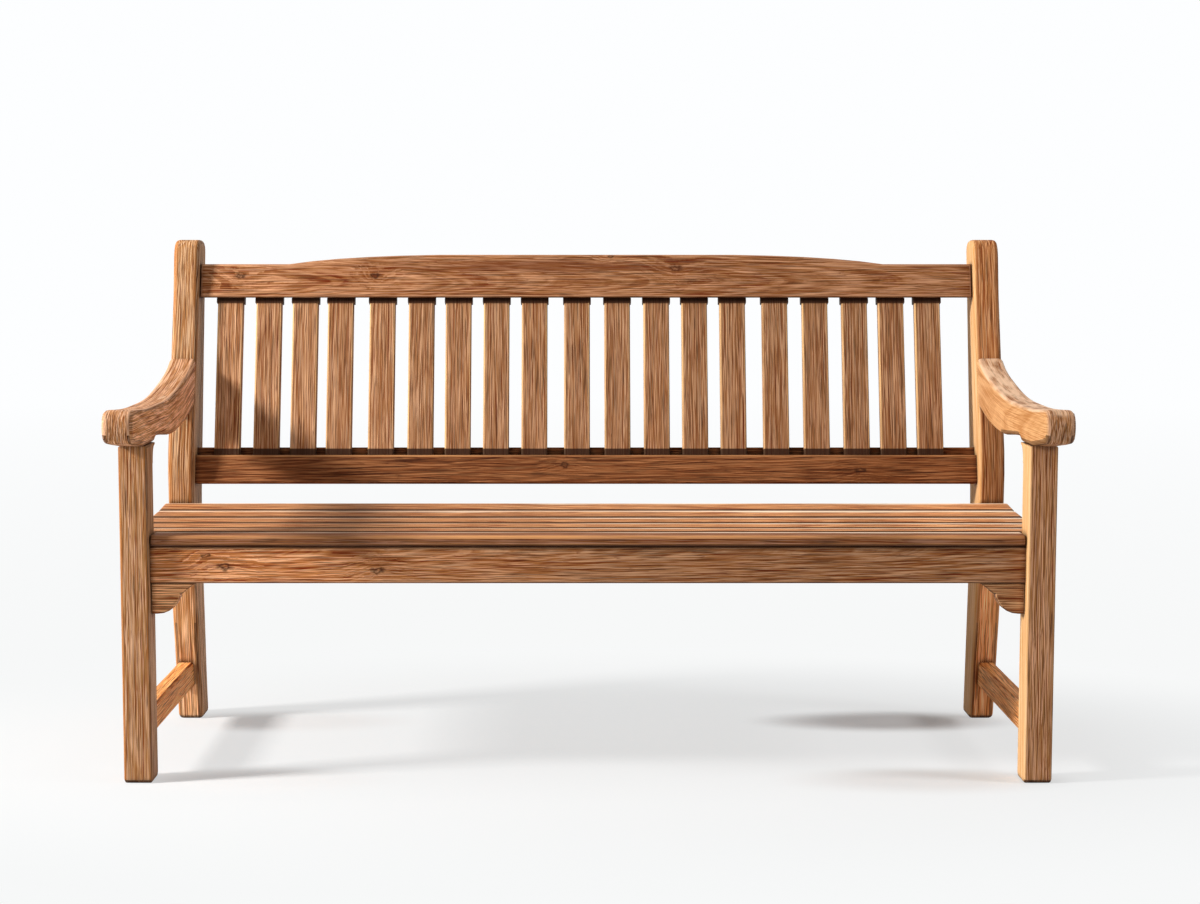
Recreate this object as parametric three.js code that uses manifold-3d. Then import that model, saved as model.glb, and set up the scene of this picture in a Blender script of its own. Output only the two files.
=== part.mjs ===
// A three-seat wooden garden bench: two end frames, a framed seat and a reclined slatted back.
//
// Millimetres. X runs along the bench, Y from front to back, Z up from the ground.
// While the pieces are made, Y = 0 is the front face of the front legs. At the end the whole bench
// is moved so that the origin lies under the middle of its bounding box.

import * as THREE from "three";
import { mergeVertices } from "three/addons/utils/BufferGeometryUtils.js";
import Module from "manifold-3d";

const manifold = await Module();
manifold.setup();

// ---------------------------------------------------------------- driving dimensions

const GAP = 0.3; // air left between pieces that touch
const CUT_PAST = 20; // how far a cutting solid reaches past the face it opens
const ROUND_STEPS = 3; // facets across each rounded edge

// End frames
const FRONT_LEG = { outerX: 768.5, thick: 46.5, deep: 58, shoulderZ: 561, round: 4 };
const LEG_EAR = { deep: 78, root: 12, fromZ: 527, lip: 4, round: 1.5 }; // swells out to carry the arm
const BACK_LEG = { outerX: 768, thick: 47, topZ: 898, round: 8 };
const ARM = { thick: 49, outerX: 771, tipY: -115, tipBottomZ: 571.5, tipTopZ: 627, round: 8 };
const FOOT_CHAMFER = 6;

// Side rails, low stretchers
const SIDE_RAIL = { thick: 30, centreX: 749, bottomZ: 336 };
const STRETCHER = { thick: 30, centreX: 749, bottomZ: 68, topZ: 112, round: 4 };

// Seat
const SEAT_Z = 412; // top of the nosing
const BOARD_THICK = 18;
const BOARD_COUNT = 5;
const BOARD_WIDE = 66;
const BOARD_SPACE = 8.5;
const BOARD_END_X = 773;
const BOARD_ROUND = 5;
const BOARD_END_ROUND = 4;
const NOSING = { frontY: 12, backY: 62, round: 5, endRound: 4 };
const DISH = { frontY: 70, lowY: 190, backY: 434, frontDrop: 4, backRise: 9.5 };
const SUPPORT_Z = SEAT_Z - BOARD_THICK - GAP; // flat top of the apron and the rear rail
const DISH_LOW_Z = SUPPORT_Z - DISH.frontDrop;
const APRON = { frontY: 17, thick: 28, bottomZ: 332, round: 4 };
const REAR_RAIL = { frontY: 455, thick: 28, bottomZ: 336, round: 4 };
const BEARER = { thick: 28, x: 250, bottomZ: 342, stub: 10 };

// Corner brackets under the apron
const BRACKET = { high: 51, long: 74, frontY: 20, thick: 26, round: 2 };

// Back: the slats' front faces lie in one reclined plane, which is the plane y = 0 of the back's
// own frame; z = 0 there is the lower edge of the lower rail.
const RECLINE = THREE.MathUtils.degToRad(14.5);
const BACK_Y = 456;
const BACK_Z = 449;
const LOWER_RAIL = { proud: 3, thick: 36, high: 55, lipFrom: 21, lipHigh: 17, round: 4 };
const TOP_RAIL = { proud: 11, thick: 36, z: 350, high: 65.5, rise: 18.5, round: 5 };
const ARCH_FLAT_X = 200; // half length of the level crown of the top rail
const ARCH_FOOT_X = 555; // where the arch starts to rise
const ARCH_SOFT_X = 437; // where the foot of the arch would meet the crown if both ran straight
const SLAT = { wide: 48, thick: 16, housed: 16, round: 3 };
const SLAT_SHOULDER = { high: 7.5, wider: 2, thicker: 1, round: 1 }; // the band under the top rail
const FIRST_SLAT_GAP = 33;
const SLAT_GAPS = [24, 20, 18, 30, 25, 21, 23, 23, 31, 27, 25, 23, 23, 31, 27, 26, 20, 20]; // set by eye

// Joints
const TENON_THICK = 14;
const TENON_LONG = 28;
const SHORT_TENON = 18; // where two tenons meet inside one leg
const TENON_SHOULDER = 9; // from a rail's edge to its tenon
const PEG_RADIUS = 4;
const PEG_SETBACK = 16; // from a leg's inner face to the pegs that run front to back
const PEG_SIDES = 16;

// Oiled hardwood, a little different from board to board
const LEG_COLOUR = "#b8834f";
const RAIL_COLOUR = "#a66c3f";
const LOWER_RAIL_COLOUR = "#8f5630";
const SLAT_COLOUR = "#a97650";
const SEAT_COLOUR = "#b07e50";
const PEG_COLOUR = "#7d4c2b";

// ---------------------------------------------------------------- solids and cuts

const SIDE_PLANE = new THREE.Matrix4().makeBasis(
  new THREE.Vector3(0, 1, 0),
  new THREE.Vector3(0, 0, 1),
  new THREE.Vector3(1, 0, 0)
);
const FRONT_PLANE = new THREE.Matrix4().makeBasis(
  new THREE.Vector3(1, 0, 0),
  new THREE.Vector3(0, 0, 1),
  new THREE.Vector3(0, -1, 0)
);

function extruded(shape, length, round, plane, curveSegments) {
  const depth = length - 2 * round;
  const geometry = new THREE.ExtrudeGeometry(shape, {
    depth,
    curveSegments,
    bevelEnabled: round > 0,
    bevelSegments: ROUND_STEPS,
    bevelThickness: round,
    bevelSize: round,
    bevelOffset: -round
  });
  geometry.translate(0, 0, -depth / 2);
  return geometry.applyMatrix4(plane);
}

// A board sawn to an outline of (y, z) points, with its thickness along X, centred on X = 0.
function sideBoard(shape, length, round = 0, curveSegments = 4) {
  return extruded(shape, length, round, SIDE_PLANE, curveSegments);
}

// A board sawn to an outline of (x, z) points, with its thickness along Y, centred on Y = 0.
function frontBoard(shape, thick, round = 0, curveSegments = 6) {
  return extruded(shape, thick, round, FRONT_PLANE, curveSegments);
}

function box(xs, ys, zs) {
  const geometry = new THREE.BoxGeometry(xs[1] - xs[0], ys[1] - ys[0], zs[1] - zs[0]);
  return geometry.translate((xs[0] + xs[1]) / 2, (ys[0] + ys[1]) / 2, (zs[0] + zs[1]) / 2);
}

// A rectangle of (y, z) points with rounded corners.
function roundedSection(y0, y1, z0, z1, round) {
  const shape = new THREE.Shape();
  shape.moveTo(y0 + round, z0);
  shape.lineTo(y1 - round, z0);
  shape.absarc(y1 - round, z0 + round, round, -Math.PI / 2, 0);
  shape.lineTo(y1, z1 - round);
  shape.absarc(y1 - round, z1 - round, round, 0, Math.PI / 2);
  shape.lineTo(y0 + round, z1);
  shape.absarc(y0 + round, z1 - round, round, Math.PI / 2, Math.PI);
  shape.lineTo(y0, z0 + round);
  shape.absarc(y0 + round, z0 + round, round, Math.PI, 1.5 * Math.PI);
  return shape;
}

function solid(geometry) {
  const bare = geometry.clone();
  bare.deleteAttribute("normal");
  bare.deleteAttribute("uv");
  const merged = mergeVertices(bare, 1e-3);
  const mesh = new manifold.Mesh({
    numProp: 3,
    vertProperties: new Float32Array(merged.attributes.position.array),
    triVerts: new Uint32Array(merged.index.array)
  });
  return new manifold.Manifold(mesh);
}

function geometryOf(body) {
  const mesh = body.getMesh();
  const geometry = new THREE.BufferGeometry();
  geometry.setAttribute("position", new THREE.BufferAttribute(mesh.vertProperties, 3));
  geometry.setIndex(new THREE.BufferAttribute(mesh.triVerts, 1));
  geometry.computeVertexNormals();
  return geometry;
}

function shaped(blank, additions, cuts) {
  let body = solid(blank);
  for (const addition of additions) {
    body = body.add(solid(addition));
  }
  for (const cut of cuts) {
    body = body.subtract(solid(cut));
  }
  return geometryOf(body);
}

function cutBy(blank, neighbour, awayY) {
  const cutter = neighbour.clone().translate(0, awayY, 0);
  return geometryOf(solid(blank).subtract(solid(cutter)));
}

function pegAlongX(x0, x1, y, z, radius) {
  const geometry = new THREE.CylinderGeometry(radius, radius, x1 - x0, PEG_SIDES);
  geometry.rotateZ(-Math.PI / 2);
  return geometry.translate((x0 + x1) / 2, y, z);
}

function pegAlongY(x, y0, y1, z, radius) {
  const geometry = new THREE.CylinderGeometry(radius, radius, y1 - y0, PEG_SIDES);
  return geometry.translate(x, (y0 + y1) / 2, z);
}

function piece(name, geometry, colour, position = [0, 0, 0]) {
  const material = new THREE.MeshStandardMaterial({ color: colour, roughness: 0.6, metalness: 0 });
  const mesh = new THREE.Mesh(geometry, material);
  mesh.name = name;
  mesh.position.set(...position);
  return mesh;
}

// ---------------------------------------------------------------- where the joints are

// Each mortise and tenon is one box in the bench's frame, given for the right-hand end; grow widens
// it into the mortise.
const LEG_INNER_X = FRONT_LEG.outerX - FRONT_LEG.thick;
const BACK_INNER_X = BACK_LEG.outerX - BACK_LEG.thick;
const FRONT_LEG_X = FRONT_LEG.outerX - FRONT_LEG.thick / 2;
const BACK_LEG_X = BACK_LEG.outerX - BACK_LEG.thick / 2;
const ARM_X = ARM.outerX - ARM.thick / 2;
const BACK_FRAME = new THREE.Matrix4()
  .makeTranslation(0, BACK_Y, BACK_Z)
  .multiply(new THREE.Matrix4().makeRotationX(-RECLINE));

function mirrored(xs, side) {
  return side > 0 ? xs : [-xs[1], -xs[0]];
}

function apronTenon(side, grow = 0) {
  const y = APRON.frontY + APRON.thick / 2;
  return box(
    mirrored([LEG_INNER_X - CUT_PAST, LEG_INNER_X + TENON_LONG + grow], side),
    [y - TENON_THICK / 2 - grow, y + TENON_THICK / 2 + grow],
    [APRON.bottomZ + TENON_SHOULDER - grow, SUPPORT_Z - TENON_SHOULDER + grow]
  );
}

function rearRailTenon(side, grow = 0) {
  const y = REAR_RAIL.frontY + REAR_RAIL.thick / 2;
  return box(
    mirrored([BACK_INNER_X - CUT_PAST, BACK_INNER_X + TENON_LONG + grow], side),
    [y - TENON_THICK / 2 - grow, y + TENON_THICK / 2 + grow],
    [REAR_RAIL.bottomZ + TENON_SHOULDER - grow, SUPPORT_Z - TENON_SHOULDER + grow]
  );
}

function backRailTenon(side, y, z0, z1, grow = 0) {
  return box(
    mirrored([BACK_INNER_X - CUT_PAST, BACK_INNER_X + TENON_LONG + grow], side),
    [y - TENON_THICK / 2 - grow, y + TENON_THICK / 2 + grow],
    [z0 + TENON_SHOULDER - grow, z1 - TENON_SHOULDER + grow]
  );
}

function lowerRailTenon(side, grow = 0) {
  const y = LOWER_RAIL.thick / 2 - LOWER_RAIL.proud;
  return backRailTenon(side, y, 0, LOWER_RAIL.high, grow);
}

function topRailTenon(side, grow = 0) {
  const y = TOP_RAIL.thick / 2 - TOP_RAIL.proud;
  return backRailTenon(side, y, TOP_RAIL.z, TOP_RAIL.z + TOP_RAIL.high, grow);
}

// Tenons that run front to back are centred on X = 0 of their own rail.
function tenonAlongY(y0, y1, z0, z1, grow = 0) {
  return box(
    [-TENON_THICK / 2 - grow, TENON_THICK / 2 + grow],
    [y0, y1],
    [z0 + TENON_SHOULDER - grow, z1 - TENON_SHOULDER + grow]
  );
}

const SIDE_RAIL_END_Y = DISH.backY + SHORT_TENON;
const STRETCHER_END_Y = 517;

function sideRailFrontTenon(grow = 0) {
  const y0 = FRONT_LEG.deep - SHORT_TENON - grow;
  return tenonAlongY(y0, FRONT_LEG.deep + CUT_PAST, SIDE_RAIL.bottomZ, DISH_LOW_Z, grow);
}

function sideRailBackTenon(grow = 0) {
  const y0 = DISH.backY - CUT_PAST;
  return tenonAlongY(y0, SIDE_RAIL_END_Y + grow, SIDE_RAIL.bottomZ, DISH_LOW_Z, grow);
}

function stretcherFrontTenon(grow = 0) {
  const y0 = FRONT_LEG.deep - TENON_LONG - grow;
  return tenonAlongY(y0, FRONT_LEG.deep + CUT_PAST, STRETCHER.bottomZ, STRETCHER.topZ, grow);
}

function stretcherBackTenon(grow = 0) {
  const y0 = STRETCHER_END_Y - TENON_LONG - CUT_PAST;
  return tenonAlongY(y0, STRETCHER_END_Y + grow, STRETCHER.bottomZ, STRETCHER.topZ, grow);
}

const ARM_TENON = { thick: 18, y0: 440, y1: 515, z0: 612, z1: 652 };
const LEG_TENON = { thick: 20, y0: 12, y1: 46, high: 34 };

function armTenon(grow = 0) {
  return box(
    [-ARM_TENON.thick / 2 - grow, ARM_TENON.thick / 2 + grow],
    [ARM_TENON.y0, ARM_TENON.y1 + grow],
    [ARM_TENON.z0 - grow, ARM_TENON.z1 + grow]
  );
}

function legTenon(grow = 0) {
  return box(
    [-LEG_TENON.thick / 2 - grow, LEG_TENON.thick / 2 + grow],
    [LEG_TENON.y0 - grow, LEG_TENON.y1 + grow],
    [FRONT_LEG.shoulderZ - CUT_PAST, FRONT_LEG.shoulderZ + LEG_TENON.high + grow]
  );
}

// The pegs that lock the tenons. Those along X are driven from a leg's outer face.
const SIDE_PEG_LONG = 30;
const SIDE_RAIL_PEG_Z = 352;
const STRETCHER_PEG_Z = (STRETCHER.bottomZ + STRETCHER.topZ) / 2;
const SIDE_PEGS = [
  { name: "seat_rail_peg_front", leg: FRONT_LEG, y: 49, z: SIDE_RAIL_PEG_Z },
  { name: "seat_rail_peg_back", leg: BACK_LEG, y: 445, z: SIDE_RAIL_PEG_Z },
  { name: "stretcher_peg_front", leg: FRONT_LEG, y: 44, z: STRETCHER_PEG_Z },
  { name: "stretcher_peg_back", leg: BACK_LEG, y: 503, z: STRETCHER_PEG_Z }
];

function sidePeg(peg, side, grow = 0) {
  const outer = peg.leg.outerX;
  const xs = mirrored([outer - SIDE_PEG_LONG - grow, outer + (grow > 0 ? CUT_PAST : 0)], side);
  return pegAlongX(xs[0], xs[1], peg.y, peg.z, PEG_RADIUS + grow);
}

const PEG_X = BACK_INNER_X + PEG_SETBACK;
const PEG_COVER = 4; // wood left in front of a blind peg
const APRON_PEG_Z = 375;
const REAR_RAIL_PEG_Z = 366;
const BEHIND_LEGS_Y = 640; // the pegs of the back legs are made this long, then cut off flush

function apronPeg(side, grow = 0) {
  const y0 = APRON.frontY + PEG_COVER - grow;
  const y1 = FRONT_LEG.deep - GAP + (grow > 0 ? CUT_PAST : 0);
  return pegAlongY(side * PEG_X, y0, y1, APRON_PEG_Z, PEG_RADIUS + grow);
}

function rearRailPeg(side, grow = 0) {
  const y0 = REAR_RAIL.frontY + PEG_COVER - grow;
  return pegAlongY(side * PEG_X, y0, BEHIND_LEGS_Y, REAR_RAIL_PEG_Z, PEG_RADIUS + grow);
}

function backRailPeg(side, z, grow = 0) {
  return pegAlongY(side * PEG_X, PEG_COVER - grow, BEHIND_LEGS_Y - BACK_Y, z, PEG_RADIUS + grow);
}

const LOWER_RAIL_PEG_Z = LOWER_RAIL.high / 2;
const TOP_RAIL_PEG_Z = TOP_RAIL.z + TOP_RAIL.high / 2;

// ---------------------------------------------------------------- end frames

function frontLegOutline() {
  const { deep, shoulderZ } = FRONT_LEG;
  const shape = new THREE.Shape();
  shape.moveTo(FOOT_CHAMFER, 0);
  shape.lineTo(deep - FOOT_CHAMFER, 0);
  shape.lineTo(deep, FOOT_CHAMFER);
  shape.lineTo(deep, shoulderZ);
  shape.lineTo(0, shoulderZ);
  shape.lineTo(0, FOOT_CHAMFER);
  return shape;
}

// The back of the front leg swells out at the top, in one hollow curve up to the arm's underside.
function legEar() {
  const { deep, shoulderZ, thick } = FRONT_LEG;
  const lipZ = shoulderZ - LEG_EAR.lip;
  const shape = new THREE.Shape();
  shape.moveTo(deep - LEG_EAR.root, LEG_EAR.fromZ);
  shape.lineTo(deep, LEG_EAR.fromZ);
  shape.quadraticCurveTo(deep, lipZ, LEG_EAR.deep, lipZ);
  shape.lineTo(LEG_EAR.deep, shoulderZ);
  shape.lineTo(deep - LEG_EAR.root, shoulderZ);
  return sideBoard(shape, thick, LEG_EAR.round, 6);
}

function frontLeg(side) {
  const centre = side * FRONT_LEG_X;
  const toLeg = (geometry) => geometry.translate(-centre, 0, 0);
  const toSide = (geometry) => geometry.translate(side * SIDE_RAIL.centreX - centre, 0, 0);
  const blank = sideBoard(frontLegOutline(), FRONT_LEG.thick, FRONT_LEG.round);
  return shaped(blank, [legEar(), legTenon()], [
    toLeg(apronTenon(side, GAP)),
    toSide(sideRailFrontTenon(GAP)),
    toSide(stretcherFrontTenon(GAP)),
    toLeg(apronPeg(side, GAP)),
    toLeg(sidePeg(SIDE_PEGS[0], side, GAP)),
    toLeg(sidePeg(SIDE_PEGS[2], side, GAP))
  ]);
}

// The cranked back leg: splayed below the seat, upright through it, reclined above it.
function backLegOutline() {
  const top = BACK_LEG.topZ;
  const shape = new THREE.Shape();
  shape.moveTo(505 + FOOT_CHAMFER, 0);
  shape.lineTo(569 - FOOT_CHAMFER, 0);
  shape.lineTo(569, FOOT_CHAMFER);
  shape.bezierCurveTo(541, 200, 526, 360, 536, 430);
  shape.bezierCurveTo(560, 560, 580, 690, 616, 866);
  shape.quadraticCurveTo(623, top, 590, top);
  shape.lineTo(563, top);
  shape.quadraticCurveTo(539, top, 532, 866);
  shape.bezierCurveTo(510, 690, 434, 560, 434, 470);
  shape.bezierCurveTo(434, 280, 475, 150, 504, FOOT_CHAMFER);
  return shape;
}

function backLegBlank(thick, round) {
  return sideBoard(backLegOutline(), thick, round, 7);
}

const WIDE_LEG_BLANK = backLegBlank(2 * BACK_LEG.thick, 0);

function backLeg(side) {
  const centre = side * BACK_LEG_X;
  const toLeg = (geometry) => geometry.translate(-centre, 0, 0);
  const toSide = (geometry) => geometry.translate(side * SIDE_RAIL.centreX - centre, 0, 0);
  const fromBack = (geometry) => toLeg(geometry.applyMatrix4(BACK_FRAME));
  return shaped(backLegBlank(BACK_LEG.thick, BACK_LEG.round), [], [
    toLeg(rearRailTenon(side, GAP)),
    fromBack(lowerRailTenon(side, GAP)),
    fromBack(topRailTenon(side, GAP)),
    toSide(sideRailBackTenon(GAP)),
    toSide(stretcherBackTenon(GAP)),
    armTenon(GAP).translate(side * ARM_X - centre, 0, 0),
    toLeg(rearRailPeg(side, GAP)),
    fromBack(backRailPeg(side, LOWER_RAIL_PEG_Z, GAP)),
    fromBack(backRailPeg(side, TOP_RAIL_PEG_Z, GAP)),
    toLeg(sidePeg(SIDE_PEGS[1], side, GAP)),
    toLeg(sidePeg(SIDE_PEGS[3], side, GAP))
  ]);
}

// The arm: a bullnosed front end over the leg, level to the middle, then swept up to the post.
function armOutline() {
  const { tipY, tipBottomZ, tipTopZ } = ARM;
  const tipZ = (tipBottomZ + tipTopZ) / 2;
  const seatZ = FRONT_LEG.shoulderZ + GAP;
  const earY = LEG_EAR.deep;
  const shape = new THREE.Shape();
  shape.moveTo(tipY, tipZ);
  shape.bezierCurveTo(tipY, tipZ - 16, tipY + 8, tipBottomZ, tipY + 28, tipBottomZ);
  shape.lineTo(-4, seatZ);
  shape.lineTo(earY, seatZ);
  shape.splineThru([
    new THREE.Vector2(102, 568.5),
    new THREE.Vector2(165, 566),
    new THREE.Vector2(250, 560),
    new THREE.Vector2(350, 568),
    new THREE.Vector2(440, 586),
    new THREE.Vector2(520, 608)
  ]);
  shape.lineTo(520, 696);
  shape.splineThru([
    new THREE.Vector2(450, 663),
    new THREE.Vector2(345, 640),
    new THREE.Vector2(240, 625),
    new THREE.Vector2(140, 620.5),
    new THREE.Vector2(20, 621),
    new THREE.Vector2(tipY + 25, tipTopZ)
  ]);
  shape.bezierCurveTo(tipY + 7, tipTopZ + 1, tipY, tipZ + 15, tipY, tipZ);
  return shape;
}

function arm(side) {
  const toLeg = side * (FRONT_LEG_X - ARM_X);
  const blank = sideBoard(armOutline(), ARM.thick, ARM.round, 4);
  const coped = cutBy(blank, WIDE_LEG_BLANK, -GAP);
  return shaped(coped, [armTenon()], [legTenon(GAP).translate(toLeg, 0, 0)]);
}

// The seat dips from its front edge, then lifts again towards the back legs.
function dishTopZ(y) {
  if (y < DISH.lowY) {
    return DISH_LOW_Z + DISH.frontDrop * ((DISH.lowY - y) / (DISH.lowY - DISH.frontY)) ** 2;
  }
  return DISH_LOW_Z + DISH.backRise * ((y - DISH.lowY) / (DISH.backY - DISH.lowY)) ** 3;
}

// A rail that runs front to back, with its top hollowed to the dish of the seat.
function dishedOutline(y0, y1, bottomZ) {
  const steps = 8;
  const span = DISH.backY - DISH.frontY;
  const shape = new THREE.Shape();
  shape.moveTo(y0, bottomZ);
  shape.lineTo(y1, bottomZ);
  shape.lineTo(y1, dishTopZ(DISH.backY));
  for (let i = 0; i <= steps; i += 1) {
    const y = DISH.backY - (span * i) / steps;
    shape.lineTo(y, dishTopZ(y));
  }
  if (y0 < DISH.frontY) {
    shape.lineTo(y0, SUPPORT_Z);
  }
  return shape;
}

function seatSideRail(side) {
  const toRail = (geometry) => geometry.translate(-side * SIDE_RAIL.centreX, 0, 0);
  const outline = dishedOutline(FRONT_LEG.deep + GAP, DISH.backY + CUT_PAST, SIDE_RAIL.bottomZ);
  const coped = cutBy(sideBoard(outline, SIDE_RAIL.thick), WIDE_LEG_BLANK, -GAP);
  return shaped(coped, [sideRailFrontTenon(), sideRailBackTenon()], [
    toRail(sidePeg(SIDE_PEGS[0], side, GAP)),
    toRail(sidePeg(SIDE_PEGS[1], side, GAP))
  ]);
}

function sideStretcher(side) {
  const toRail = (geometry) => geometry.translate(-side * STRETCHER.centreX, 0, 0);
  const { bottomZ, topZ, thick, round } = STRETCHER;
  const long = box([-thick / 2, thick / 2], [FRONT_LEG.deep + GAP, STRETCHER_END_Y], [bottomZ, topZ]);
  const across = new THREE.Shape();
  across.moveTo(-thick / 2, bottomZ);
  across.lineTo(thick / 2, bottomZ);
  across.lineTo(thick / 2, topZ - round);
  across.lineTo(thick / 2 - round, topZ);
  across.lineTo(round - thick / 2, topZ);
  across.lineTo(-thick / 2, topZ - round);
  const rounded = solid(frontBoard(across, 2 * STRETCHER_END_Y)).intersect(solid(long));
  const coped = cutBy(geometryOf(rounded), WIDE_LEG_BLANK, -GAP);
  return shaped(coped, [stretcherFrontTenon(), stretcherBackTenon()], [
    toRail(sidePeg(SIDE_PEGS[2], side, GAP)),
    toRail(sidePeg(SIDE_PEGS[3], side, GAP))
  ]);
}

// A small shaped bracket in the corner of front leg and apron. x runs from the leg inwards.
function cornerBracket(side) {
  const { high, long, thick, round } = BRACKET;
  const shape = new THREE.Shape();
  shape.moveTo(0, 0);
  shape.lineTo(0, -high);
  shape.lineTo(10, -high);
  shape.bezierCurveTo(28, -high, 42, -40, 47, -24);
  shape.lineTo(48, -18);
  shape.lineTo(54, -16);
  shape.quadraticCurveTo(61, -9, long, 0);
  const board = frontBoard(shape, thick, round, 5);
  return side > 0 ? board.rotateZ(Math.PI) : board;
}

function endFrame(side) {
  const hand = side > 0 ? "right" : "left";
  const frame = new THREE.Group();
  const bracketAt = [
    side * (LEG_INNER_X - GAP),
    BRACKET.frontY + BRACKET.thick / 2,
    APRON.bottomZ - GAP
  ];
  const at = (x) => [side * x, 0, 0];
  frame.add(piece(`front_leg_${hand}`, frontLeg(side), LEG_COLOUR, at(FRONT_LEG_X)));
  frame.add(piece(`back_leg_${hand}`, backLeg(side), LEG_COLOUR, at(BACK_LEG_X)));
  frame.add(piece(`arm_${hand}`, arm(side), LEG_COLOUR, at(ARM_X)));
  frame.add(piece(`seat_side_rail_${hand}`, seatSideRail(side), RAIL_COLOUR, at(SIDE_RAIL.centreX)));
  frame.add(piece(`side_stretcher_${hand}`, sideStretcher(side), RAIL_COLOUR, at(STRETCHER.centreX)));
  frame.add(piece(`corner_bracket_${hand}`, cornerBracket(side), RAIL_COLOUR, bracketAt));
  for (const peg of SIDE_PEGS) {
    frame.add(piece(`${peg.name}_${hand}`, sidePeg(peg, side), PEG_COLOUR));
  }
  return frame;
}

// ---------------------------------------------------------------- seat

function bearerStubs(y0, y1, grow = 0) {
  const z0 = BEARER.bottomZ + TENON_SHOULDER - grow;
  const z1 = DISH_LOW_Z - TENON_SHOULDER + grow;
  return [-1, 1].map((side) => {
    const x = side * BEARER.x;
    return box([x - TENON_THICK / 2 - grow, x + TENON_THICK / 2 + grow], [y0, y1], [z0, z1]);
  });
}

const APRON_BACK_Y = APRON.frontY + APRON.thick;

function frontApron() {
  const section = roundedSection(APRON.frontY, APRON_BACK_Y, APRON.bottomZ, SUPPORT_Z, APRON.round);
  const blank = sideBoard(section, 2 * (LEG_INNER_X - GAP), 0, 2);
  const stubs = bearerStubs(APRON_BACK_Y - BEARER.stub - GAP, APRON_BACK_Y + CUT_PAST, GAP);
  const pegHoles = [-1, 1].map((side) => apronPeg(side, GAP));
  return shaped(blank, [-1, 1].map((side) => apronTenon(side)), [...stubs, ...pegHoles]);
}

function seatRearRail() {
  const { frontY, thick, bottomZ, round } = REAR_RAIL;
  const section = roundedSection(frontY, frontY + thick, bottomZ, SUPPORT_Z, round);
  const blank = sideBoard(section, 2 * (BACK_INNER_X - GAP), 0, 1);
  const stubs = bearerStubs(frontY - CUT_PAST, frontY + BEARER.stub + GAP, GAP);
  const pegHoles = [-1, 1].map((side) => rearRailPeg(side, GAP));
  return shaped(blank, [-1, 1].map((side) => rearRailTenon(side)), [...stubs, ...pegHoles]);
}

function seatBearer() {
  const outline = dishedOutline(APRON_BACK_Y + GAP, REAR_RAIL.frontY - GAP, BEARER.bottomZ);
  const z0 = BEARER.bottomZ + TENON_SHOULDER;
  const z1 = DISH_LOW_Z - TENON_SHOULDER;
  const xs = [-TENON_THICK / 2, TENON_THICK / 2];
  const stubs = [
    box(xs, [APRON_BACK_Y - BEARER.stub, APRON_BACK_Y + BEARER.stub], [z0, z1]),
    box(xs, [REAR_RAIL.frontY - BEARER.stub, REAR_RAIL.frontY + BEARER.stub], [z0, z1])
  ];
  return shaped(sideBoard(outline, BEARER.thick), stubs, []);
}

function seatNosing() {
  const { frontY, backY, round, endRound } = NOSING;
  const section = roundedSection(frontY, backY, SEAT_Z - BOARD_THICK, SEAT_Z, round);
  return sideBoard(section, 2 * (LEG_INNER_X - GAP), endRound, 4);
}

function seatBoard() {
  const half = BOARD_WIDE / 2;
  const section = roundedSection(-half, half, 0, BOARD_THICK, BOARD_ROUND);
  return sideBoard(section, 2 * BOARD_END_X, BOARD_END_ROUND, 2);
}

// Five equal boards, each tipped to the dish of the rails below it.
function seatBoards() {
  const group = new THREE.Group();
  const pitch = BOARD_WIDE + BOARD_SPACE;
  const middle = (DISH.frontY + DISH.backY) / 2;
  for (let i = 0; i < BOARD_COUNT; i += 1) {
    const y = middle + (i - (BOARD_COUNT - 1) / 2) * pitch;
    const frontZ = dishTopZ(y - BOARD_WIDE / 2);
    const backZ = dishTopZ(y + BOARD_WIDE / 2);
    const board = piece(`seat_board_${i + 1}`, seatBoard(), SEAT_COLOUR);
    board.position.set(0, y, (frontZ + backZ) / 2 + GAP);
    board.rotation.x = Math.atan2(backZ - frontZ, BOARD_WIDE);
    group.add(board);
  }
  return group;
}

function seat() {
  const group = new THREE.Group();
  group.add(piece("front_apron", frontApron(), RAIL_COLOUR));
  group.add(piece("seat_rear_rail", seatRearRail(), RAIL_COLOUR));
  group.add(piece("seat_bearer_left", seatBearer(), RAIL_COLOUR, [-BEARER.x, 0, 0]));
  group.add(piece("seat_bearer_right", seatBearer(), RAIL_COLOUR, [BEARER.x, 0, 0]));
  group.add(piece("seat_nosing", seatNosing(), SEAT_COLOUR));
  group.add(seatBoards());
  for (const side of [-1, 1]) {
    const hand = side > 0 ? "right" : "left";
    const legBack = backLegBlank(BACK_LEG.thick, 0).translate(side * BACK_LEG_X, 0, 0);
    const rearPeg = solid(rearRailPeg(side)).intersect(solid(legBack));
    group.add(piece(`apron_peg_${hand}`, apronPeg(side), PEG_COLOUR));
    group.add(piece(`rear_rail_peg_${hand}`, geometryOf(rearPeg), PEG_COLOUR));
  }
  return group;
}

// ---------------------------------------------------------------- back

function slatCentres() {
  const centres = [-BACK_INNER_X + FIRST_SLAT_GAP + SLAT.wide / 2];
  for (const gap of SLAT_GAPS) {
    centres.push(centres[centres.length - 1] + SLAT.wide + gap);
  }
  return centres;
}

function slatMortises(z0, z1) {
  return slatCentres().map((x) => {
    const half = SLAT.wide / 2 + GAP;
    return box([x - half, x + half], [-GAP, SLAT.thick + GAP], [z0, z1]);
  });
}

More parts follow.
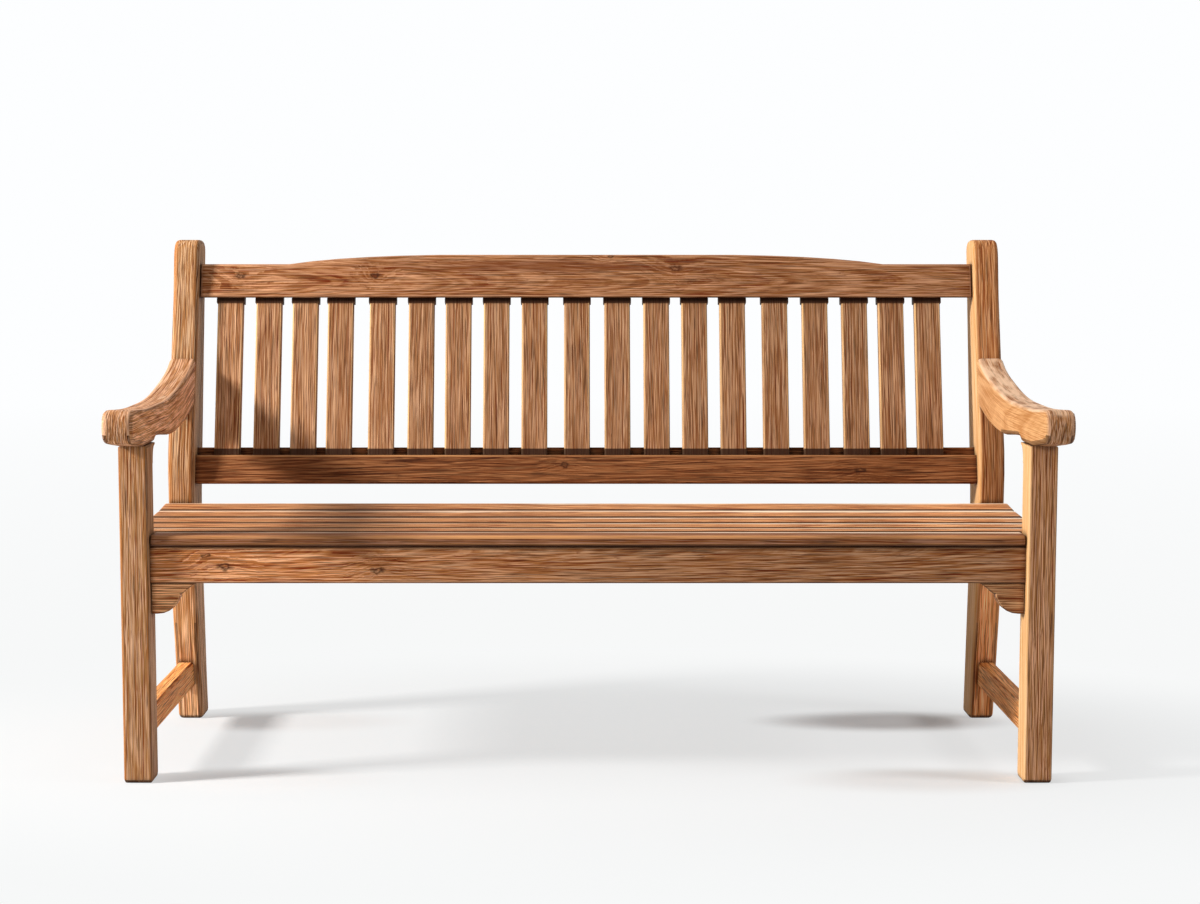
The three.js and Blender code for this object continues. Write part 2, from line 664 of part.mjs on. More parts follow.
// Both rails lean with the slats, but their undersides are planed level.
// The lower rail carries the slats in mortises; its back edge stands up behind them as a lip.
function lowerBackRail() {
  const { proud, thick, high, lipFrom, lipHigh, round } = LOWER_RAIL;
  const front = -proud;
  const back = thick - proud;
  const under = Math.tan(RECLINE);
  const shape = new THREE.Shape();
  shape.moveTo(front + round, round * under);
  shape.lineTo(back - round, (thick - round) * under);
  shape.lineTo(back, thick * under + round);
  shape.lineTo(back, high + lipHigh - round);
  shape.lineTo(back - round, high + lipHigh);
  shape.lineTo(front + lipFrom, high + lipHigh);
  shape.lineTo(front + lipFrom, high);
  shape.lineTo(front + round, high);
  shape.absarc(front + round, high - round, round, Math.PI / 2, Math.PI);
  shape.lineTo(front, round);
  const blank = sideBoard(shape, 2 * (BACK_INNER_X - GAP), 0, 2);
  const pegHoles = [-1, 1].map((side) => backRailPeg(side, LOWER_RAIL_PEG_Z, GAP));
  const mortises = slatMortises(high - SLAT.housed - GAP, high + CUT_PAST);
  return shaped(blank, [-1, 1].map((side) => lowerRailTenon(side)), [...mortises, ...pegHoles]);
}

function topRail() {
  const { proud, thick, z, high, rise, round } = TOP_RAIL;
  const end = BACK_INNER_X - GAP;
  const top = z + high;
  const shape = new THREE.Shape();
  shape.moveTo(-end, z);
  shape.lineTo(end, z);
  shape.lineTo(end, top);
  shape.lineTo(ARCH_FOOT_X, top);
  shape.quadraticCurveTo(ARCH_SOFT_X, top + rise, ARCH_FLAT_X, top + rise);
  shape.lineTo(-ARCH_FLAT_X, top + rise);
  shape.quadraticCurveTo(-ARCH_SOFT_X, top + rise, -ARCH_FOOT_X, top);
  shape.lineTo(-end, top);
  const blank = frontBoard(shape, thick, round).translate(0, thick / 2 - proud, 0);
  const pegHoles = [-1, 1].map((side) => backRailPeg(side, TOP_RAIL_PEG_Z, GAP));
  const mortises = slatMortises(z - CUT_PAST, z + SLAT.housed + GAP);
  const planed = box([-2 * end, 2 * end], [-thick, 2 * thick], [-thick, 0]);
  planed.rotateX(RECLINE);
  planed.translate(0, -proud, z);
  return shaped(blank, [-1, 1].map((side) => topRailTenon(side)), [...mortises, ...pegHoles, planed]);
}

// The planed underside of the top rail, in the back's own frame.
function topRailUnderZ(y) {
  return TOP_RAIL.z + (y + TOP_RAIL.proud) * Math.tan(RECLINE);
}

function slatShoulder() {
  const { high, wider, thicker, round } = SLAT_SHOULDER;
  const z0 = TOP_RAIL.z - high;
  const front = -thicker;
  const back = SLAT.thick + thicker;
  const shape = new THREE.Shape();
  shape.moveTo(front, z0);
  shape.lineTo(back, z0);
  shape.lineTo(back, topRailUnderZ(back) - GAP);
  shape.lineTo(front, topRailUnderZ(front) - GAP);
  return sideBoard(shape, SLAT.wide + 2 * wider, round);
}

function backSlat() {
  const z0 = LOWER_RAIL.high - SLAT.housed;
  const z1 = TOP_RAIL.z + SLAT.housed;
  const shape = new THREE.Shape();
  shape.moveTo(0, z0);
  shape.lineTo(SLAT.thick, z0);
  shape.lineTo(SLAT.thick, z1);
  shape.lineTo(0, z1);
  return shaped(sideBoard(shape, SLAT.wide, SLAT.round), [slatShoulder()], []);
}

function reclinedBack() {
  const group = new THREE.Group();
  group.position.set(0, BACK_Y, BACK_Z);
  group.rotation.x = -RECLINE;
  group.add(piece("lower_back_rail", lowerBackRail(), LOWER_RAIL_COLOUR));
  group.add(piece("top_rail", topRail(), RAIL_COLOUR));
  slatCentres().forEach((x, i) => {
    const number = String(i + 1).padStart(2, "0");
    group.add(piece(`back_slat_${number}`, backSlat(), SLAT_COLOUR, [x, 0, 0]));
  });
  const toBack = BACK_FRAME.clone().invert();
  for (const side of [-1, 1]) {
    const hand = side > 0 ? "right" : "left";
    const leg = backLegBlank(BACK_LEG.thick, 0).translate(side * BACK_LEG_X, 0, 0);
    const legBody = solid(leg.applyMatrix4(toBack));
    const lowerPeg = solid(backRailPeg(side, LOWER_RAIL_PEG_Z)).intersect(legBody);
    const topPeg = solid(backRailPeg(side, TOP_RAIL_PEG_Z)).intersect(legBody);
    group.add(piece(`lower_rail_peg_${hand}`, geometryOf(lowerPeg), PEG_COLOUR));
    group.add(piece(`top_rail_peg_${hand}`, geometryOf(topPeg), PEG_COLOUR));
  }
  return group;
}

// ---------------------------------------------------------------- the bench

const bench = new THREE.Group();
bench.add(endFrame(-1));
bench.add(endFrame(1));
bench.add(seat());
bench.add(reclinedBack());

const reach = new THREE.Box3().setFromObject(bench);
bench.position.y = -(reach.min.y + reach.max.y) / 2;

export default bench;
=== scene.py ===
import math
import random

import bmesh
import bpy
from mathutils import Matrix, Vector


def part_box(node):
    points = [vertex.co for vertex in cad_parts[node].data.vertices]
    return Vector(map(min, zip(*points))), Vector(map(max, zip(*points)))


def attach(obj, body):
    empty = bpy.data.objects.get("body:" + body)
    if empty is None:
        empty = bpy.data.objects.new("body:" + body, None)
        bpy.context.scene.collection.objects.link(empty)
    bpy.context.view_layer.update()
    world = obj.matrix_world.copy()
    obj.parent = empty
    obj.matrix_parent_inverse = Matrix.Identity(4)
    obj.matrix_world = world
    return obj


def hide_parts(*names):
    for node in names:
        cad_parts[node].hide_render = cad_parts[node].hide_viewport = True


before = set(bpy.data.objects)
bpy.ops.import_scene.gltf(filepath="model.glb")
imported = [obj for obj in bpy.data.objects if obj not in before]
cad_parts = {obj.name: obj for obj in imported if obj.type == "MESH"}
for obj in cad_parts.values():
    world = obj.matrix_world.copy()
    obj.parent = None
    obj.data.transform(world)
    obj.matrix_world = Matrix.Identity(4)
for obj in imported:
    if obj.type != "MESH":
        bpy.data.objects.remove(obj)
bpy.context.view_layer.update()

# ------------------------------------------------------------------ camera
# A camera a little left of the middle of the bench, level with the top of its back and square to it,
# so that every rail is drawn level. It stands nearly four metres off, tipped down by five degrees.
CAMERA_PLACE = (-0.0271, -3.828, 0.886)
CAMERA_TIP = 5.3414

camera = bpy.data.objects.new("camera", bpy.data.cameras.new("camera"))
camera.data.sensor_width = 36.0
camera.data.lens = 66.0
camera.data.shift_x = 0.0237
camera.data.clip_end = 200.0
camera.location = CAMERA_PLACE
camera.rotation_euler = (math.radians(90.0 - CAMERA_TIP), 0.0, 0.0)
bpy.context.scene.collection.objects.link(camera)
bpy.context.scene.camera = camera
bpy.context.scene.view_settings.view_transform = "Standard"

# ------------------------------------------------------------------ floor
# A matt white studio floor that runs into a white surround. The bench stands on it and throws soft
# shadows, which stay faint because the floor is bright all round.
FLOOR_HALF = 60.0
FLOOR_PAINT = "#e3e5e7"
FLOOR_WHITE = "#f7f8f8"
SURROUND_WHITE = "#fdfeff"
PATCH_PLACE = (0.56, 0.23, 0.0)  # just inside each foot
PATCH_REACH = (0.2778, 0.1111, 1.0)
BENCH_REACH = (1.3, 0.75, 1.0)
FOOT_SHARES = (0.62, 0.84)  # how much of the lamps' light and shadow shows by the left and right feet
MIDDLE_SHARE = 0.26  # the same under the middle of the bench


def linear(code):
    """An sRGB hex colour as the linear colour that a socket takes."""
    parts = [int(code[i : i + 2], 16) / 255 for i in (1, 3, 5)]
    return [c / 12.92 if c <= 0.04045 else ((c + 0.055) / 1.055) ** 2.4 for c in parts] + [1.0]


def add(tree, kind, links=None, **settings):
    """Adds a shader node with its settings. Links gives each socket a value, an output or a node,
    which stands for the first of its outputs that is in use."""
    node = tree.nodes.new("ShaderNode" + kind)
    for key, value in settings.items():
        setattr(node, key, value)
    for key, value in (links or {}).items():
        if isinstance(value, bpy.types.Node):
            value = next(output for output in value.outputs if output.enabled)
        if isinstance(value, bpy.types.NodeSocket):
            tree.links.new(value, node.inputs[key])
        else:
            node.inputs[key].default_value = value
    return node


paint = bpy.data.materials.new("matt_white_floor")
paint.use_nodes = True
tree = paint.node_tree
tree.nodes.clear()
place = add(tree, "TexCoord").outputs["Object"]

# The lamps' light and shadow show most in an oval patch beside each foot, and less in between.
across = add(tree, "SeparateXYZ", {0: place})
foot = add(tree, "MapRange", {"Value": across, "From Min": -0.5, "From Max": 0.5,
           "To Min": FOOT_SHARES[0], "To Max": FOOT_SHARES[1]})
patch = add(tree, "VectorMath", {0: place}, operation="ABSOLUTE")
patch = add(tree, "VectorMath", {0: patch, 1: PATCH_PLACE}, operation="SUBTRACT")
patch = add(tree, "VectorMath", {0: patch, 1: PATCH_REACH}, operation="DIVIDE")
patch = add(tree, "VectorMath", {0: patch}, operation="LENGTH")
share = add(tree, "MapRange", {"Value": patch, "From Min": 0.3, "From Max": 1.0, "To Min": foot,
            "To Max": MIDDLE_SHARE}, interpolation_type="SMOOTHSTEP")

# Away from the bench they fade out, and the floor shows an even white, a little brighter far off.
past = add(tree, "VectorMath", {0: place, 1: BENCH_REACH}, operation="DIVIDE")
past = add(tree, "VectorMath", {0: past}, operation="LENGTH")
near = add(tree, "MapRange", {"Value": past, "From Min": 0.6, "From Max": 1.3, "To Min": 1.0,
           "To Max": 0.0}, interpolation_type="SMOOTHSTEP")
dull = add(tree, "Math", {0: share, 1: near}, operation="MULTIPLY")
bright = add(tree, "Math", {0: 1.0, 1: dull}, operation="SUBTRACT")
path = add(tree, "LightPath")
seen = add(tree, "Math", {0: path.outputs["Is Camera Ray"], 1: path.outputs["Is Glossy Ray"]},
           operation="MAXIMUM")
glowing = add(tree, "Math", {0: seen, 1: bright}, operation="MULTIPLY")
far = add(tree, "VectorMath", {0: place}, operation="LENGTH")
far = add(tree, "MapRange", {"Value": far, "From Min": 1.5, "From Max": 9.0})
white = add(tree, "Mix", {0: far, 6: linear(FLOOR_WHITE), 7: linear(SURROUND_WHITE)}, data_type="RGBA")
matt = add(tree, "BsdfDiffuse", {"Color": linear(FLOOR_PAINT)})
glow = add(tree, "Emission", {"Color": white, "Strength": 1.0})
both = add(tree, "MixShader", {0: glowing, 1: matt, 2: glow})
add(tree, "OutputMaterial", {"Surface": both})

bm = bmesh.new()
bmesh.ops.create_grid(bm, x_segments=1, y_segments=1, size=FLOOR_HALF)
floor_mesh = bpy.data.meshes.new("floor")
bm.to_mesh(floor_mesh)
bm.free()
floor = bpy.data.objects.new("floor", floor_mesh)
floor.data.materials.append(paint)
bpy.context.scene.collection.objects.link(floor)

# ------------------------------------------------------------------ surround
# A white surround on every side. The camera and glossy surfaces see it at full white, while it lights
# the bench only weakly, so that the lamps shape the wood.
SURROUND_LIGHT = 0.11

world = bpy.data.worlds.new("white_surround")
bpy.context.scene.world = world
world.use_nodes = True
tree = world.node_tree
tree.nodes.clear()
path = add(tree, "LightPath")
seen = add(tree, "Math", {0: path.outputs["Is Camera Ray"], 1: path.outputs["Is Glossy Ray"]},
           operation="MAXIMUM")
strength = add(tree, "MapRange", {"Value": seen, "To Min": SURROUND_LIGHT, "To Max": 1.0})
sky = add(tree, "Background", {"Color": linear(SURROUND_WHITE), "Strength": strength})
add(tree, "OutputWorld", {"Surface": sky})

# ------------------------------------------------------------------ lamps
# A small hard key lamp far to the left lights every face that looks left and throws the shadows that
# run to the right. A weaker lamp near the right end throws those that run to the left, and a broad one
# overhead softens the shadow that the left arm throws on the seat.
LAMPS = [
    # name, place, aimed at, width, watts, colour
    ("key_lamp", (-4.35, -1.25, 2.6), (0.0, 0.0, 0.4), 0.7, 374.0, "#fffcf8"),
    ("right_lamp", (3.0, -0.85, 2.2), (0.3, 0.0, 0.3), 0.6, 32.0, "#ffffff"),
    ("overhead_lamp", (-0.2, 0.0, 3.4), (-0.1, 0.0, 0.4), 1.8, 24.0, "#ffffff"),
]
for name, place, aim, width, watts, colour in LAMPS:
    lamp = bpy.data.lights.new(name, "AREA")
    lamp.size = width
    lamp.energy = watts
    lamp.color = linear(colour)[:3]
    holder = bpy.data.objects.new(name, lamp)
    holder.location = place
    holder.rotation_euler = (Vector(aim) - Vector(place)).to_track_quat("-Z", "Y").to_euler()
    bpy.context.scene.collection.objects.link(holder)

# ------------------------------------------------------------------ legs and arms
# Four legs and two arms of an oiled, teak-like hardwood, with grain that bends as they do. The front
# legs are tenoned up into the arms, and the arms are notched over the back legs, which run up as posts.
# All the arrises are rounded over and worn by use; those that look down or right are painted shaded,
# and the rest carry a painted highlight.
RIGHTWARD, BACKWARD, FORWARD, UPWARD = (1, 0, 0), (0, 1, 0), (0, -1, 0), (0, 0, 1)
DIRT_AND_SHADE_BROWN = "#220f07"
KNOT_BROWN = "#34190c"


def wood(name, along, face, pale, mid, deep, ring=2.2, sway=4.0, taper=0.03, sweeps=(), knots=(),
         fades=(), rubbed_and_lit=None, painted_left_light=None):
    """Oiled hardwood with growth rings round a heart that each piece names. Along is the way the grain
    runs and face the way the wide side looks. Ring is a year's growth, and sway how far the fibres
    wander either way. Sweeps bend the grain: (start, end, shift). Knots are (x, y, z, size). Fades make
    a stretch paler or darker: (start, end, value, value). The rubbed colour goes on the worn arrises,
    which also carry a painted highlight. Two pale colours, if given, paint a highlight on the sides that
    look left, where the key lamp strikes them. Lengths are in mm."""
    material = bpy.data.materials.new(name)
    material.use_nodes = True
    tree = material.node_tree
    tree.nodes.clear()
    along, face = Vector(along).normalized(), Vector(face).normalized()
    edgeways = face.cross(along)
    place = add(tree, "TexCoord").outputs["Object"]
    level = add(tree, "VectorMath", {0: place, 1: along}, operation="DOT_PRODUCT")
    heart = add(tree, "Attribute", attribute_name="heart").outputs["Vector"]
    own = add(tree, "VectorMath", {0: place, 1: heart}, operation="SUBTRACT")
    for start, end, shift in sweeps:
        share = add(tree, "MapRange", {"Value": level, "From Min": start / 1000, "From Max": end / 1000})
        bend = add(tree, "VectorMath", {0: Vector(shift) / 1000, "Scale": share}, operation="SCALE")
        own = add(tree, "VectorMath", {0: own, 1: bend}, operation="SUBTRACT")
    turn = Matrix((along, edgeways, face)).transposed().to_euler()
    plank = add(tree, "Mapping", {"Vector": own, "Rotation": turn}, vector_type="TEXTURE")

    # The fibres wander from side to side, in waves about 330 mm long.
    waves = (1000 / 330, 1000 / 45, 1000 / 45)
    wander = add(tree, "VectorMath", {0: plank, 1: waves}, operation="MULTIPLY")
    wander = add(tree, "TexNoise", {"Vector": wander, "Scale": 1.0, "Detail": 2.0})
    drift = add(tree, "VectorMath", {0: wander.outputs["Color"], 1: (0.5, 0.5, 0.5)}, operation="SUBTRACT")
    drift = add(tree, "VectorMath", {0: drift, 1: (0.0, 2 * sway / 1000, 2 * sway / 1000)},
                operation="MULTIPLY")
    fibre = add(tree, "VectorMath", {0: plank, 1: drift}, operation="ADD")

    # Growth rings: the distance from the heart, with a little taper along the trunk.
    spread = add(tree, "VectorMath", {0: fibre, 1: (0.0, 1.0, 1.0)}, operation="MULTIPLY")
    spread = add(tree, "VectorMath", {0: spread}, operation="LENGTH")
    radius = add(tree, "SeparateXYZ", {0: plank})
    radius = add(tree, "Math", {0: radius, 1: taper, 2: spread}, operation="MULTIPLY_ADD")

    # A knot has a dark rim, twice as long as it is high and ragged by up to 6 mm either way. The rings
    # bend round it, out to nearly four times its size.
    rag = Vector((0.012, 0.012, 0.012))
    bark = add(tree, "TexNoise", {"Vector": place, "Scale": 1000 / 9.09, "Detail": 2.0}).outputs["Color"]
    ragged = add(tree, "VectorMath", {0: bark, 1: rag, 2: place}, operation="MULTIPLY_ADD")
    rims = 0.0
    for x, y, z, size in knots:
        middle = Vector((x, y, z)) / 1000 + rag / 2
        size = size / 1000
        off = add(tree, "VectorMath", {0: ragged, 1: middle}, operation="SUBTRACT")
        off = add(tree, "VectorMath", {0: off, 1: (0.5, 1.0, 1.0)}, operation="MULTIPLY")
        off = add(tree, "VectorMath", {0: off}, operation="LENGTH")
        push = add(tree, "MapRange", {"Value": off, "From Max": 3.846 * size, "To Min": 0.769 * size,
                   "To Max": 0.0})
        radius = add(tree, "Math", {0: radius, 1: push}, operation="ADD")
        rim = add(tree, "Math", {0: off, 1: 0.4545 * size}, operation="SUBTRACT")
        rim = add(tree, "Math", {0: rim}, operation="ABSOLUTE")
        rim = add(tree, "MapRange", {"Value": rim, "From Max": 0.4 * size, "To Min": 0.85, "To Max": 0.0})
        rims = add(tree, "Math", {0: rims, 1: rim}, operation="MAXIMUM")
    rings = add(tree, "Math", {0: radius, 1: 1000 / ring}, operation="MULTIPLY")
    rings = add(tree, "TexNoise", {"W": rings, "Scale": 1.0, "Detail": 3.0, "Roughness": 0.6},
                noise_dimensions="1D")

    # Fibre streaks, broad bands, dark open pores, and pale threads raised by the weather. They run on
    # unbroken along each side, because the cells are drawn far deeper than they are wide.
    on_edge = add(tree, "NewGeometry").outputs["True Normal"]
    on_edge = add(tree, "VectorMath", {0: on_edge, 1: edgeways}, operation="DOT_PRODUCT")
    on_edge = add(tree, "Math", {0: on_edge}, operation="ABSOLUTE")
    on_edge = add(tree, "Math", {0: on_edge, 1: 0.7}, operation="GREATER_THAN")
    stretch = add(tree, "VectorMath", {0: on_edge, 1: (0.0, -0.92, 0.92), 2: (1.0, 1.0, 0.08)},
                  operation="MULTIPLY_ADD")
    fibre = add(tree, "VectorMath", {0: fibre, 1: stretch}, operation="MULTIPLY")
    fine = []
    for length, width, detail, roughness, shift in (
        # a cell's length and width, its detail and roughness, and how many cells it is shifted by
        (130, 1.7, 2.0, 0.6, (0.0, 0.0, 0.0)),
        (400, 13, 2.0, 0.5, (0.0, 0.0, 0.0)),
        (70, 1.4, 1.0, 0.5, (0.0, 0.0, 0.0)),
        (90, 1.7, 1.0, 0.5, (3.333, 117.647, 58.824)),
    ):
        cells = (1000 / length, 1000 / width, 1000 / width)
        spot = add(tree, "VectorMath", {0: fibre, 1: cells, 2: shift}, operation="MULTIPLY_ADD")
        fine.append(add(tree, "TexNoise", {"Vector": spot, "Scale": 1.0, "Detail": detail,
                        "Roughness": roughness}))
    streaks, bands, pores, threads = fine

    # Late wood is a dark line, drawn for every second ring so that it shows. Veins of the deep colour
    # follow the bands.
    late = add(tree, "Math", {0: streaks, 1: 0.8}, operation="MULTIPLY")
    late = add(tree, "Math", {0: radius, 1: 480 / ring, 2: late}, operation="MULTIPLY_ADD")
    late = add(tree, "Math", {0: late}, operation="FRACT")
    veins = add(tree, "Math", {0: rings, 1: 1.2}, operation="MULTIPLY")
    veins = add(tree, "Math", {0: bands, 1: 15.0, 2: veins}, operation="MULTIPLY_ADD")
    veins = add(tree, "Math", {0: veins}, operation="FRACT")
    waning = add(tree, "MapRange", {"Value": veins, "From Max": 0.3, "To Min": 0.5, "To Max": 0.0})
    rising = add(tree, "MapRange", {"Value": veins, "From Min": 0.92, "To Max": 0.5})
    veins = add(tree, "Math", {0: waning, 1: rising}, operation="MAXIMUM")
    grain = 0.0
    for part, low, high, weight in (
        # the pattern, where it starts and ends, and how much of the grain it makes
        (rings, 0.38, 0.62, 0.28),
        (late, 1.0, 0.2, 0.12),
        (streaks, 0.38, 0.62, 0.45),
        (bands, 0.3, 0.7, 0.15),
    ):
        part = add(tree, "MapRange", {"Value": part, "From Min": low, "From Max": high, "To Max": weight})
        grain = add(tree, "Math", {0: grain, 1: part}, operation="ADD")
    colour = linear(deep)
    for part, low, high, most, tint in (
        # the pattern, where it starts and ends, and the most that it brings of its colour
        (grain, 0.15, 0.46, 1.0, mid),
        (grain, 0.52, 0.85, 1.0, pale),
        (threads, 0.55, 0.63, 0.75, pale),
        (veins, 0.0, 1.0, 1.0, deep),
    ):
        part = add(tree, "MapRange", {"Value": part, "From Min": low, "From Max": high, "To Max": most})
        colour = add(tree, "Mix", {0: part, 6: colour, 7: linear(tint)}, data_type="RGBA")

    # The piece's own tone, the pores and the fades set how bright the wood is.
    tone = add(tree, "Attribute", attribute_name="tone").outputs["Fac"]
    value = add(tree, "MapRange", {"Value": pores, "From Min": 0.38, "From Max": 0.45, "To Min": 0.5,
                "To Max": 1.07})
    value = add(tree, "Math", {0: value, 1: tone}, operation="MULTIPLY")
    for start, end, at_start, at_end in fades:
        fade = add(tree, "MapRange", {"Value": level, "From Min": start / 1000, "From Max": end / 1000,
                   "To Min": at_start, "To Max": at_end})
        value = add(tree, "Math", {0: value, 1: fade}, operation="MULTIPLY")
    colour = add(tree, "HueSaturation", {"Color": colour, "Value": value})
    colour = add(tree, "Mix", {0: rims, 6: colour, 7: linear(KNOT_BROWN)}, data_type="RGBA")

    # The arrises that don't look down or right are rubbed paler, unevenly: partly wear, partly a painted
    # highlight. A painted highlight also lies over the sides that look left.
    arris = add(tree, "Attribute", attribute_name="arris").outputs["Fac"]
    rub_and_glint = add(tree, "MapRange", {"Value": wander, "From Min": 0.35, "From Max": 0.65, "To Min": 0.2,
              "To Max": 0.75})
    rub_and_glint = add(tree, "Math", {0: arris, 1: rub_and_glint}, operation="MULTIPLY")
    colour = add(tree, "Mix", {0: rub_and_glint, 6: colour, 7: linear(rubbed_and_lit or pale)}, data_type="RGBA")
    # Painted highlight: the sides that look left, toward the key lamp, are painted a pale straw colour.
    if painted_left_light:
        light = add(tree, "MapRange", {"Value": grain, "From Min": 0.25, "From Max": 0.75})
        light = add(tree, "Mix", {0: light, 6: linear(painted_left_light[0]), 7: linear(painted_left_light[1])}, data_type="RGBA")
        leftward = add(tree, "NewGeometry").outputs["Normal"]
        leftward = add(tree, "SeparateXYZ", {0: leftward})
        leftward = add(tree, "MapRange", {"Value": leftward, "From Min": -0.3, "From Max": -0.75,
                       "To Max": 0.9})
        colour = add(tree, "Mix", {0: leftward, 6: colour, 7: light}, data_type="RGBA")

    # Painted shade, with some dirt and old oil, darkens every inside corner within 11 mm of it, and the
    # arrises that look down or right.
    dirt_and_shade = add(tree, "AmbientOcclusion", {"Distance": 0.011}, samples=4).outputs["AO"]
    dirt_and_shade = add(tree, "MapRange", {"Value": dirt_and_shade, "From Min": 0.42, "From Max": 0.92, "To Min": 0.9,
               "To Max": 0.0})
    uneven = add(tree, "MapRange", {"Value": bands, "From Min": 0.3, "From Max": 0.6, "To Min": 0.75})
    dirt_and_shade = add(tree, "Math", {0: dirt_and_shade, 1: uneven}, operation="MULTIPLY")
    shaded_arris = add(tree, "Math", {0: arris, 1: -0.6}, operation="MULTIPLY")
    dirt_and_shade = add(tree, "Math", {0: dirt_and_shade, 1: shaded_arris}, operation="MAXIMUM")
    colour = add(tree, "Mix", {0: dirt_and_shade, 6: colour, 7: linear(DIRT_AND_SHADE_BROWN)}, data_type="RGBA")

    # The grain stands up by half a millimetre at most, and the pale wood is a little smoother. The oil
    # has long soaked in, so the gloss is faint.
    relief = add(tree, "Math", {0: grain, 1: 0.8, 2: value}, operation="MULTIPLY_ADD")
    bump = add(tree, "Bump", {"Height": relief, "Strength": 0.4, "Distance": 0.0005})
    roughness = add(tree, "MapRange", {"Value": grain, "To Min": 0.7, "To Max": 0.52})
    surface = add(tree, "BsdfPrincipled", {"Base Color": colour, "Normal": bump, "Roughness": roughness,
                  "Specular IOR Level": 0.1})
    add(tree, "OutputMaterial", {"Surface": surface})
    return material


def lay_over(timber, share, colour):
    """Lays a colour over a finished wood, by a share that its own tree works out."""
    tree = timber.node_tree
    surface = tree.nodes["Principled BSDF"]
    clean = surface.inputs["Base Color"].links[0].from_socket
    laid = add(tree, "Mix", {0: share, 6: clean, 7: linear(colour)}, data_type="RGBA")
    tree.links.new(laid.outputs[2], surface.inputs["Base Color"])


MERGE_WITHIN = 0.00001
FLAT_WITHIN = math.radians(1.0)  # triangles that turn less than this make one face
CRISP_EDGE = math.radians(34.0)  # an edge that turns further than this stays sharp
ARRIS_WIDTH = 0.0045  # a face slimmer than this belongs to a rounded arris
# Arris marks: wear with a painted highlight, painted shade where they look right, dirt and painted shade
# where they look down.
RUBBED_AND_LIT, SHADED_RIGHT_ARRIS, DIRTY_AND_SHADED = 1.0, -0.6, -1.0


def dress(node, material, tone=1.0, heart=(0.0, 0.09, 0.0), narrow=ARRIS_WIDTH, painted_side_light=(1.0, 1.0)):
    """A finished copy of one solid: its triangles merged into faces, its roundings shaded smooth, and
    the faces slimmer than narrow marked as arrises: those that look right get painted shade, those that
    look down dirt and painted shade, and the rest wear and a painted highlight. The heart of its log and
    its own tone are attributes as well. The side values say how much paler the faces that look left, and
    those that look right, are: painted light and shade."""
    bm = bmesh.new()
    bm.from_mesh(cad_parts[node].data)
    bmesh.ops.remove_doubles(bm, verts=bm.verts, dist=MERGE_WITHIN)
    bmesh.ops.dissolve_limit(bm, angle_limit=FLAT_WITHIN, verts=bm.verts, edges=bm.edges)
    arris = bm.faces.layers.float.new("arris")
    for face in bm.faces:
        face.smooth = True
        width = face.calc_area() / max(edge.calc_length() for edge in face.edges)
        # Arrises that look right get painted shade, those that look down dirt and painted shade, the rest
        # wear and a painted highlight.
        if width < narrow and face.normal.x > 0.35:
            face[arris] = SHADED_RIGHT_ARRIS
        elif width < narrow:
            face[arris] = RUBBED_AND_LIT if face.normal.z > -0.2 else DIRTY_AND_SHADED
    for edge in bm.edges:
        edge.smooth = edge.is_manifold and edge.calc_face_angle() < CRISP_EDGE
    mesh = bpy.data.meshes.new(node + "_finished")
    bm.to_mesh(mesh)
    bm.free()
    lowest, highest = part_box(node)
    centre = (lowest + highest) / 2 + Vector(heart)
    mesh.attributes.new("heart", "FLOAT_VECTOR", "FACE").data.foreach_set(
        "vector", list(centre) * len(mesh.polygons))
    tones = []
    for face in mesh.polygons:
        # Faces that look left or right take their painted side light.
        side = painted_side_light[0] if face.normal.x < -0.7 else painted_side_light[1] if face.normal.x > 0.7 else 1.0
        tones.append(tone * side)
    mesh.attributes.new("tone", "FLOAT", "FACE").data.foreach_set("value", tones)
    mesh.materials.append(material)
    piece = bpy.data.objects.new(node + "_finished", mesh)
    bpy.context.scene.collection.objects.link(piece)
    even = piece.modifiers.new("even_shading", "WEIGHTED_NORMAL")
    even.keep_sharp = True
    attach(piece, "root")
    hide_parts(node)
    return piece


# Oiled teak is a warm brown with red depths. The back legs are painted paler below the seat, painted light,
# and the right one darker just below its arm, a painted shadow of the arm. The left-looking sides of the
# right leg, post and arm are painted straw-pale, a painted highlight where the key lamp strikes them.
POST_SWEEPS = ((470, 560, (0, 15, 0)), (560, 880, (0, 86, 0)), (430, 300, (0, 10, 0)), (300, 0, (0, 60, 0)))
ARM_SWEEPS = ((-50, 100, (0, 0, 16)), (100, 270, (0, 0, 42)))
PAINTED_LEFT_LIGHT = ("#cf9352", "#ecc391")
left_leg = wood("front_leg_teak_oiled", UPWARD, FORWARD, "#d5a886", "#a67646", "#722f0f", rubbed_and_lit="#a8682f")
right_leg = wood("leg_teak_oiled_painted_lit_side", UPWARD, FORWARD, "#e0aa86", "#a67242", "#69290d",
                 rubbed_and_lit="#e0ad7c", painted_left_light=PAINTED_LEFT_LIGHT)
left_post = wood("back_leg_teak_oiled", UPWARD, FORWARD, "#dbb48e", "#a77545", "#60270d",
                 sweeps=POST_SWEEPS, fades=((330, 420, 1.5, 1.0),), rubbed_and_lit="#b07038")
right_post = wood("dark_back_leg_teak_oiled", UPWARD, FORWARD, "#e2a97a", "#b17441", "#793110",
                  sweeps=POST_SWEEPS, fades=((340, 420, 2.7, 1.0), (540, 640, 0.75, 1.0)),
                  rubbed_and_lit="#a06030", painted_left_light=PAINTED_LEFT_LIGHT)
left_arm = wood("arm_teak_oiled", BACKWARD, UPWARD, "#e1b08d", "#ac7646", "#6b2c10", ring=3.6,
                sway=3.0, sweeps=ARM_SWEEPS)
right_arm = wood("arm_teak_oiled_painted_lit_side", BACKWARD, UPWARD, "#e1b08d", "#ac7646", "#6b2c10",
                 ring=3.6, sway=3.0, sweeps=ARM_SWEEPS, painted_left_light=("#b37a45", "#dba974"))

